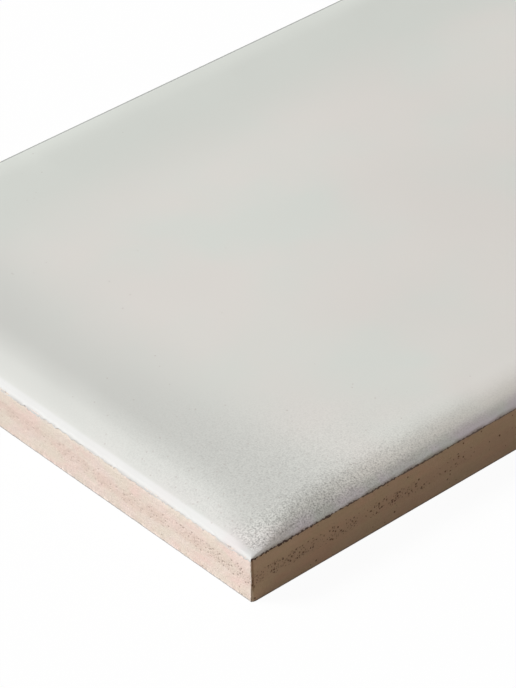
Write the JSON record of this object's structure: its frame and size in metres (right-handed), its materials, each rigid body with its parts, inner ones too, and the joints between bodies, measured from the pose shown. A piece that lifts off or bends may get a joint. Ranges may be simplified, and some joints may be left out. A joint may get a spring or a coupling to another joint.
{
  "type": "glazed ceramic wall tile",
  "caption": "Rectangular glazed ceramic wall tile with a cushioned edge and satin off-white face, bedded on its keyed back and grouted at its edges.",
  "frame": {"origin": "centre of the bedding face, the plane of the back's rim and ribs", "axes": "+X along the tile's length, +Y across its width, +Z out of the glazed face"},
  "size_m": [0.2, 0.1, 0.0095],
  "materials": {
    "biscuit": "unglazed pressed clay, pinkish beige, matt and slightly porous",
    "glaze": "satin off-white glaze with faint grey-green and beige clouds"
  },
  "bodies": {
    "root": {"biscuit": "biscuit", "glaze": "glaze"}
  },
  "joints": []
}
